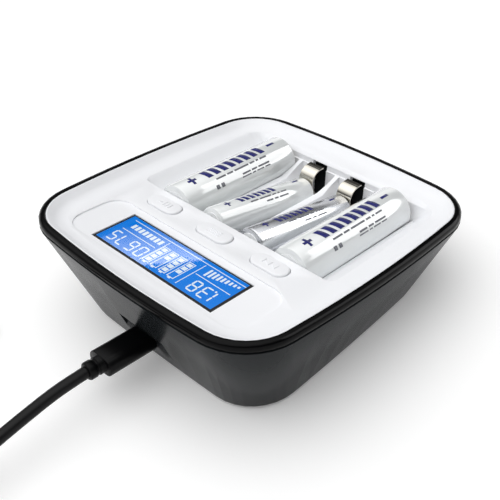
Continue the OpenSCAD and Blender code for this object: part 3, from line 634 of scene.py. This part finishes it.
def print_on(name, marks, kind, bay, ink):
    """Prints marks on a cell as a thin layer of ink."""
    mesh = wrapped_marks(name, marks, kind["radius"], kind["roll"])
    layer = add_piece(name, mesh, [ink], cell_matrix(bay, kind))
    skin = layer.modifiers.new("Ink", "SOLIDIFY")
    skin.thickness = INK_T * MM
    skin.offset = 1


def coil_points():
    """Points of the wound lead: three rows inwards on top, then three rows outwards below."""
    inner, middle, outer = COIL_ROWS
    top, low = COIL_LAYERS
    # Turn in degrees, row and layer; between two entries the lead moves over to the next row.
    stations = [
        (0, outer, top), (300, outer, top), (350, middle, top), (660, middle, top), (710, inner, top),
        (965, inner, top), (1015, inner, low), (1270, inner, low), (1320, middle, low), (1630, middle, low),
        (1680, outer, low), (1980, outer, low),
    ]
    points = []
    for (turn, row, level), (next_turn, next_row, next_level) in zip(stations, stations[1:]):
        steps = round((next_turn - turn) / COIL_STEP)
        for i in range(steps):
            share = i / steps
            ease = share * share * (3 - 2 * share)
            angle = math.radians(180 - turn - COIL_STEP * i)
            reach = row + (next_row - row) * ease
            points.append((COIL_CENTRE[0] + reach * math.cos(angle), COIL_CENTRE[1] + reach * math.sin(angle),
                           level + (next_level - level) * ease))
    return points


def lead_points():
    """All points of the lead from the plug's stub to the far plug, in millimetres."""
    end = (COIL_CENTRE[0] + COIL_ROWS[2], COIL_CENTRE[1], COIL_LAYERS[1])
    return [LEAD_START, *LEAD_ROUTE, *coil_points(), end, *TAIL_ROUTE]


def lay_floor(level):
    """Lays the paper floor; level is the light that it adds where the camera sees it."""
    mesh = prisms("floor", [box(0, 0, FLOOR_SIDE, FLOOR_SIDE)], -FLOOR_T, 0)
    # White paper: takes the soft shadow, and reads as white where nothing shades it.
    paper = solid_finish("paper_white_matt", linear("#f7f7f7"), roughness=0.9, Emission_Color=(1, 1, 1, 1))
    tree = paper.node_tree
    white = add_node(tree, "ShaderNodeMath", {0: seen_rays(tree), 1: level}, operation="MULTIPLY")
    shader = next(n for n in tree.nodes if n.type == "BSDF_PRINCIPLED")
    tree.links.new(white.outputs[0], shader.inputs["Emission Strength"])
    mesh.materials.append(paper)
    floor = bpy.data.objects.new("floor", mesh)
    bpy.context.collection.objects.link(floor)


def hang_card(strength):
    """Hangs the card whose mirror image is the glare on the display's window."""
    mesh = bpy.data.meshes.new("glare_card")
    mesh.from_pydata([Vector((x, y, CARD_Z)) * MM for x, y in CARD], [], [range(len(CARD))])
    mesh.materials.append(card_finish(strength))
    card = bpy.data.objects.new("glare_card", mesh)
    card.matrix_world = PANEL
    bpy.context.collection.objects.link(card)


def hang_lamp(name, power, size, place, roll, even):
    """Hangs a lamp aimed at the charger; one that isn't even is only mirrored, and has the flag before it."""
    light = bpy.data.lights.new(name, "AREA")
    light.energy = power
    light.shape = "RECTANGLE"
    light.size, light.size_y = size
    lamp = bpy.data.objects.new(name, light)
    lamp.location = place
    aim = (-Vector(place)).to_track_quat("-Z", "Y")
    lamp.rotation_euler = (aim @ Quaternion((0, 0, 1), math.radians(roll))).to_euler()
    lamp.visible_diffuse = even
    if not even:
        lamp.light_linking.receiver_collection = bpy.data.collections.new(FLAG)
    bpy.context.collection.objects.link(lamp)


def light_room(wall, ceiling):
    """Makes a white room, brightest overhead and dim at eye height, with a white backdrop."""
    world = bpy.data.worlds.new("white_room")
    world.use_nodes = True
    tree = world.node_tree
    tree.nodes.clear()
    way = add_node(tree, "ShaderNodeTexCoord").outputs["Generated"]
    up = add_node(tree, "ShaderNodeSeparateXYZ", {"Vector": way}).outputs["Z"]
    facing = add_node(tree, "ShaderNodeVectorMath", {0: way, 1: ROOM_WAY}, operation="DOT_PRODUCT")
    height = add_node(tree, "ShaderNodeMapRange", {
        "Value": facing.outputs["Value"], "From Min": ROOM_SPREAD[0], "From Max": ROOM_SPREAD[1],
        "To Min": wall, "To Max": ceiling}, interpolation_type="SMOOTHSTEP")
    # The backdrop stands around the horizon, and the room's light comes from above it.
    backdrop = add_node(tree, "ShaderNodeMapRange", {
        "Value": up, "From Min": BACKDROP_TOP[0], "From Max": BACKDROP_TOP[1],
        "To Min": seen_rays(tree), "To Max": 0.0})
    level = add_node(tree, "ShaderNodeMapRange", {
        "Value": backdrop.outputs["Result"], "To Min": height.outputs["Result"], "To Max": 1.0})
    sky = add_node(tree, "ShaderNodeBackground", {
        "Color": (1, 1, 1, 1), "Strength": level.outputs["Result"]})
    add_node(tree, "ShaderNodeOutputWorld", {"Surface": sky.outputs["Background"]})
    bpy.context.scene.world = world


def set_camera(focal_length, place, turn):
    """Sets up the camera."""
    lens = bpy.data.cameras.new("camera")
    lens.lens = focal_length
    lens.sensor_width = SENSOR_W
    lens.clip_start = NEAREST
    camera = bpy.data.objects.new("camera", lens)
    camera.location = place
    camera.rotation_euler = Euler(turn, "XYZ")
    bpy.context.collection.objects.link(camera)
    bpy.context.scene.camera = camera


class CHARGER_OT_shell(bpy.types.Operator):
    """Gives the tray, rim, panel, feet and screws their finishes."""
    bl_idname = "charger.shell"
    bl_label = "Shell"

    def execute(self, context):
        colours = context.scene.charger_colours
        edge = context.scene.charger_sizes.edge
        # Dark ABS from a smooth mould: the bowed sides mirror the floor and the plug softly.
        case = solid_finish("ABS_dark_grey_gloss", colours.case, roughness=0.22, spread=0.02,
                            Specular_IOR_Level=0.03)
        # Black ABS from a polished mould: a thin clear line of light along the rim.
        rim = solid_finish("ABS_black_polished", colours.rim, roughness=0.15, grain=0.6, depth=0.0005,
                           spread=0.03, Specular_IOR_Level=0.08)
        # White satin ABS: soft shading in the well and no sharp reflections.
        panel = solid_finish("ABS_white_satin", colours.panel, roughness=0.42, grain=0.3, depth=0.002)
        # Black rubber: dull, with a fine tooth.
        rubber = solid_finish("rubber_black_matt", linear("#1b1b1c"), roughness=0.75, grain=0.25, depth=0.01)
        # Zinc on steel: pale grey metal with a soft shine.
        zinc = solid_finish("steel_zinc_plated", linear("#a9abb0"), roughness=0.32, Metallic=1.0)
        crisp(dress("lower_case", case))
        soften(dress("rim_bezel", rim), edge)
        shade(soften(dress("top_panel", panel), edge))
        crisp(dress("rubber_feet", rubber))
        crisp(dress("case_screws", zinc))
        return {"FINISHED"}


class CHARGER_OT_insides(bpy.types.Operator):
    """Gives the boards, switches and sockets inside the case their finishes."""
    bl_idname = "charger.insides"
    bl_label = "Insides"

    def execute(self, context):
        # Solder mask over glass laminate: deep green with an even gloss.
        board = solid_finish("laminate_green_solder_mask", linear("#1d5a38"), roughness=0.35)
        # Moulded nylon: black with a low sheen.
        black = solid_finish("nylon_black_satin", linear("#1c1c1e"), roughness=0.45)
        # Tin on steel: bright grey metal, slightly cloudy.
        steel = solid_finish("steel_tin_plated", linear("#c3c5c8"), roughness=0.3, Metallic=1.0)
        # Flat PVC cable: mid grey and dull.
        grey = solid_finish("PVC_grey_flat_cable", linear("#8d8f92"), roughness=0.5)
        for node in ("display_board", "main_board", "contact_board"):
            crisp(dress(node, board))
        for node in ("switch_bodies", "board_components", "plunger_right", "plunger_middle", "plunger_left"):
            crisp(dress(node, black))
        crisp(dress("usb_socket", steel))
        crisp(dress("ribbon_lead", grey))
        return {"FINISHED"}


class CHARGER_OT_display(bpy.types.Operator):
    """Makes the backlit display with its figures, bars and clear window."""
    bl_idname = "charger.display"
    bl_label = "Display"

    def execute(self, context):
        colours = context.scene.charger_colours
        sizes = context.scene.charger_sizes
        # Blue film lit from behind: even glow that needs no light from outside.
        film = glowing_finish("LCD_film_blue_backlit", colours.display)
        # Clear segments in the film: the backlight comes through nearly white.
        lit = glowing_finish("LCD_segments_lit", colours.segments)
        # White acrylic: even and pale behind the film.
        white = solid_finish("acrylic_white_diffuser", linear("#eceef0"), roughness=0.5)
        # Clear acrylic: mirrors bright things while the display shows through.
        clear = solid_finish("acrylic_clear_polished", (1.0, 1.0, 1.0), roughness=0.02, spread=0.0,
                             Transmission_Weight=1.0, IOR=1.49)
        crisp(dress("lcd_glass", film))
        crisp(dress("lcd_backlight", white))
        # Black print around the window's face and on its edges, which hides the seam to the display.
        black = solid_finish("ink_black_mask", linear("#060608"), roughness=0.4)
        window = shade(crisp(dress("display_window", clear)))
        window.data.materials.append(black)
        for face in window.data.polygons:
            face.material_index = 1 if abs(face.normal.dot(KEY_AXIS)) < 0.5 else 0
        outlines = display_outlines(sizes.figure_height / MM, sizes.line / MM)
        mesh = prisms("display_segments", outlines, LCD_TOP, LCD_TOP + INK_T)
        place = PANEL @ Matrix.Translation(Vector((0, DISPLAY_Y, 0)) * MM)
        add_piece("display_segments", mesh, [lit], place)
        mask = sizes.mask / MM
        left, rear = (mask + extra for extra in MASK_EXTRA)
        half_w, half_h = (side / 2 for side in WINDOW)
        outlines = [
            box(0, half_h - rear / 2, WINDOW[0], rear), box(0, mask / 2 - half_h, WINDOW[0], mask),
            box(left / 2 - half_w, (mask - rear) / 2, left, WINDOW[1] - mask - rear),
            box(half_w - mask / 2, (mask - rear) / 2, mask, WINDOW[1] - mask - rear),
        ]
        mesh = prisms("display_mask", outlines, WINDOW_TOP, WINDOW_TOP + INK_T)
        shade(add_piece("display_mask", mesh, [black], place))
        return {"FINISHED"}


class CHARGER_OT_keys(bpy.types.Operator):
    """Gives the three keys their finish and a raised sign each."""
    bl_idname = "charger.keys"
    bl_label = "Keys"

    def execute(self, context):
        colours = context.scene.charger_colours
        # White satin ABS, a little smoother than the panel's: the keys stand out by their edges and gaps.
        white = solid_finish("ABS_white_key_satin", colours.keys, roughness=0.38, grain=0.3, depth=0.002)
        for side, outlines in key_outlines().items():
            shade(soften(dress("button_" + side, white), KEY_EDGE * MM))
            mesh = prisms("key_mark_" + side, outlines, KEY_TOP - INK_T, KEY_TOP + KEY_MARK_T)
            place = PANEL @ Matrix.Translation(Vector((KEY_X[side], KEY_Y, 0)) * MM)
            shade(add_piece("key_mark_" + side, mesh, [white], place, "key_" + side))
        return {"FINISHED"}


class CHARGER_OT_contacts(bpy.types.Operator):
    """Gives the sprung leaves and the contact strips their plated finish."""
    bl_idname = "charger.contacts"
    bl_label = "Contacts"

    def execute(self, context):
        colours = context.scene.charger_colours
        # Nickel on spring steel: clear, slightly warm mirror that darkens in the well.
        nickel = solid_finish("spring_steel_nickel_plated", colours.nickel, roughness=0.14, grain=0.2,
                              depth=0.0005, Metallic=1.0)
        # Painted shade for two stamped grooves across each leaf's fold: thin dark strips laid on its surface,
        # dark as the grooves would be since no light gets into them.
        painted_shade = solid_finish("nickel_painted_groove_shade", linear("#1d1c1a"), roughness=0.4, Metallic=0.6)
        profiles = [[(a, top_a - INK_T), (b, top_b - INK_T), (b, top_b + INK_T), (a, top_a + INK_T)]
                    for (a, top_a), (b, top_b) in LEAF_GROOVE_SHADES]
        for i, turn in enumerate(LEAF_TURNS, 1):
            crisp(dress("negative_contact_%d" % i, nickel))
            crisp(dress("positive_contact_%d" % i, nickel))
            name = "leaf_grooves_%d" % i
            foot = PANEL @ Matrix.Translation(Vector((BAY_X[i - 1], *LEAF_FOOT)) * MM)
            place = foot @ Matrix.Rotation(math.radians(turn), 4, "X") @ SIDEWAYS
            mesh = prisms(name, profiles, -LEAF_W / 2, LEAF_W / 2)
            add_piece(name, mesh, [painted_shade], place, "leaf_%d" % i)
        return {"FINISHED"}


class CHARGER_OT_cells(bpy.types.Operator):
    """Makes the two AA and two AAA cells with sleeves, terminals and print."""
    bl_idname = "charger.cells"
    bl_label = "Cells"

    def execute(self, context):
        colours = context.scene.charger_colours
        height = context.scene.charger_sizes.mark_height / MM
        # Shrunk PVC: smooth and shiny, with a long highlight along the cell.
        sleeve = solid_finish("PVC_sleeve_white_gloss", colours.sleeve, roughness=0.1, spread=0.02,
                              Coat_Weight=1.0, Specular_IOR_Level=0.9)
        # Metallised film: bright and dark streaks along the cell.
        foil = solid_finish("PVC_sleeve_metallised", colours.foil, roughness=0.24, spread=0.015, Metallic=0.9)
        # Nickel on drawn steel: a softer mirror than the contacts.
        nickel = solid_finish("steel_nickel_terminal", colours.nickel, roughness=0.28, Metallic=1.0)
        # Pressed fibre: dull white ring around the terminal.
        paper = solid_finish("fibre_ring_white", linear("#eef0f1"), roughness=0.6)
        # Navy ink: dark bars that dim the highlight where they cross it.
        ink = solid_finish("ink_navy", colours.ink, roughness=0.3, Specular_IOR_Level=0.25)
        # Grey ink: the small print reads as thin dull lines.
        fine = solid_finish("ink_grey", colours.fine_ink, roughness=0.35)
        skins = {"cell_white": sleeve, "cell_silver": foil}
        for bay, (node, kind, slot) in enumerate(CELLS, 1):
            name = node.replace("_cell_", "_cell_body_")
            finishes = [skins[slot], nickel, paper]
            cell = add_piece(name, cell_mesh(name, kind), finishes, cell_matrix(bay, kind))
            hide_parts(node)
            print_on(node + "_print", bold_marks(kind, height), kind, bay, ink)
            print_on(node + "_lines", fine_marks(kind), kind, bay, fine)
        return {"FINISHED"}


class CHARGER_OT_lead(bpy.types.Operator):
    """Makes the lead with its plugs, coil and tie."""
    bl_idname = "charger.lead"
    bl_label = "Lead"

    def execute(self, context):
        colours = context.scene.charger_colours
        # Soft black PVC: dull sheen that follows the lead.
        black = solid_finish("PVC_black_satin", colours.lead, roughness=0.4, grain=0.5, depth=0.003,
                             Specular_IOR_Level=0.2)
        # Moulded TPE: deep black, with a faint sheen on the rounded edges.
        grip = solid_finish("TPE_black_moulded", colours.lead, roughness=0.34, grain=0.3, depth=0.003,
                            Specular_IOR_Level=0.12)
        # Bright plating on steel: pale metal that mirrors the room softly.
        steel = solid_finish("steel_bright_plated", linear("#c3c5c8"), roughness=0.25, Metallic=1.0)
        # PVC strip: a little duller than the lead that it holds.
        tie = solid_finish("PVC_black_tie", colours.lead, roughness=0.5)
        soften(dress("plug_grip", grip), GRIP_EDGE * MM)
        soften(dress("far_plug_grip", grip), GRIP_EDGE * MM)
        crisp(dress("plug_shell", steel))
        crisp(dress("far_plug_shell", steel))
        crisp(dress("lead_tie", tie))
        curve = bpy.data.curves.new("lead", "CURVE")
        curve.dimensions = "3D"
        curve.bevel_depth = LEAD_D * MM / 2
        curve.bevel_resolution = 5
        curve.resolution_u = 3
        curve.use_fill_caps = True
        points = lead_points()
        line = curve.splines.new("BEZIER")
        line.bezier_points.add(len(points) - 1)
        for knot, point in zip(line.bezier_points, points):
            knot.co = Vector(point) * MM
            knot.handle_left_type = "AUTO"
            knot.handle_right_type = "AUTO"
        curve.materials.append(black)
        lead = bpy.data.objects.new("lead", curve)
        context.collection.objects.link(lead)
        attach(lead, BODY)
        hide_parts("lead_out", "lead_coil", "lead_tail")
        context.view_layer.update()
        # Painted shade for the two square windows in the far plug's shell: flat dark squares on its top, dark
        # as the windows would be since no light gets into them.
        painted_shade = solid_finish("steel_window_shadow", linear("#101011"), roughness=0.6)
        low, high = (Vector(corner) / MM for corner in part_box("far_plug_shell"))
        window_shades = [box(side * PLUG_WINDOW, 0, PLUG_WINDOW, PLUG_WINDOW) for side in (-1, 1)]
        mesh = prisms("far_plug_window_shades", window_shades, 0, INK_T)
        top = Vector(((low.x + high.x) / 2, (low.y + high.y) / 2, high.z))
        window_shade_piece = add_piece("far_plug_window_shades", mesh, [painted_shade], Matrix.Translation(top * MM))
        return {"FINISHED"}


class CHARGER_OT_stage(bpy.types.Operator):
    """Sets up the floor, the card, the lamps, the white room and the camera."""
    bl_idname = "charger.stage"
    bl_label = "Stage"

    def execute(self, context):
        stage = context.scene.charger_stage
        context.scene.view_settings.view_transform = "Standard"
        lay_floor(stage.paper)
        hang_card(stage.glare)
        hang_lamp("gloss_lamp", stage.gloss, **GLOSS_LAMP)
        hang_lamp("fill_lamp", stage.fill, **FILL_LAMP)
        light_room(stage.wall, stage.room)
        set_camera(stage.lens, stage.place, stage.turn)
        return {"FINISHED"}


class CHARGER_PT_panel(bpy.types.Panel):
    """Lists the charger's colours, sizes, light levels and steps."""
    bl_idname = "CHARGER_PT_panel"
    bl_label = "Desk charger"
    bl_space_type = "VIEW_3D"
    bl_region_type = "UI"
    bl_category = "Charger"

    def draw(self, context):
        scene = context.scene
        for group in (scene.charger_colours, scene.charger_sizes, scene.charger_stage):
            for name in group.__annotations__:
                self.layout.prop(group, name)
        for step in STEPS:
            self.layout.operator(step.bl_idname)


STEPS = (
    CHARGER_OT_stage, CHARGER_OT_shell, CHARGER_OT_insides, CHARGER_OT_display, CHARGER_OT_keys,
    CHARGER_OT_contacts, CHARGER_OT_cells, CHARGER_OT_lead,
)
GROUPS = (ChargerColours, ChargerSizes, ChargerStage)


def register():
    """Makes the groups, the steps and the panel known."""
    for kind in (*GROUPS, *STEPS, CHARGER_PT_panel):
        bpy.utils.register_class(kind)
    bpy.types.Scene.charger_colours = bpy.props.PointerProperty(type=ChargerColours)
    bpy.types.Scene.charger_sizes = bpy.props.PointerProperty(type=ChargerSizes)
    bpy.types.Scene.charger_stage = bpy.props.PointerProperty(type=ChargerStage)


def unregister():
    """Takes the panel, the steps and the groups away again."""
    del bpy.types.Scene.charger_stage
    del bpy.types.Scene.charger_sizes
    del bpy.types.Scene.charger_colours
    for kind in reversed((*GROUPS, *STEPS, CHARGER_PT_panel)):
        bpy.utils.unregister_class(kind)


def main():
    """Runs the steps in order."""
    register()
    bpy.ops.charger.stage()
    bpy.ops.charger.shell()
    bpy.ops.charger.insides()
    bpy.ops.charger.display()
    bpy.ops.charger.keys()
    bpy.ops.charger.contacts()
    bpy.ops.charger.cells()
    bpy.ops.charger.lead()


if __name__ == "__main__":
    main()
